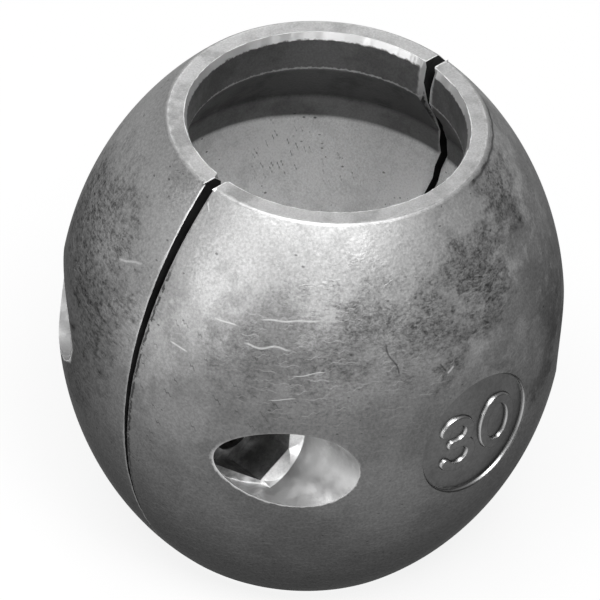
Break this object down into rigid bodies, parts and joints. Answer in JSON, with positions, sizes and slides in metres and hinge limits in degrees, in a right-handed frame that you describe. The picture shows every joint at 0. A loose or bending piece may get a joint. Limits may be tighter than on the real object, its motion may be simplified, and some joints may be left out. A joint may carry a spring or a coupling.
{
  "type": "sacrificial anode",
  "caption": "Split ball-shaped cast zinc anode that clamps round a propeller shaft, with hexagonal nut pockets for its clamp bolts and a round size badge",
  "frame": {"origin": "on the shaft axis, halfway between the two end rings", "axes": "+Z along the shaft, up as it stands; +X along the joint between the halves; -Y out through the front half with the badge"},
  "size_m": [0.055, 0.0545, 0.052],
  "materials": {
    "cast_zinc": "tumbled cast zinc, mottled light grey"
  },
  "bodies": {
    "root": {"front_half": "cast_zinc", "rear_half": "cast_zinc"}
  },
  "joints": []
}
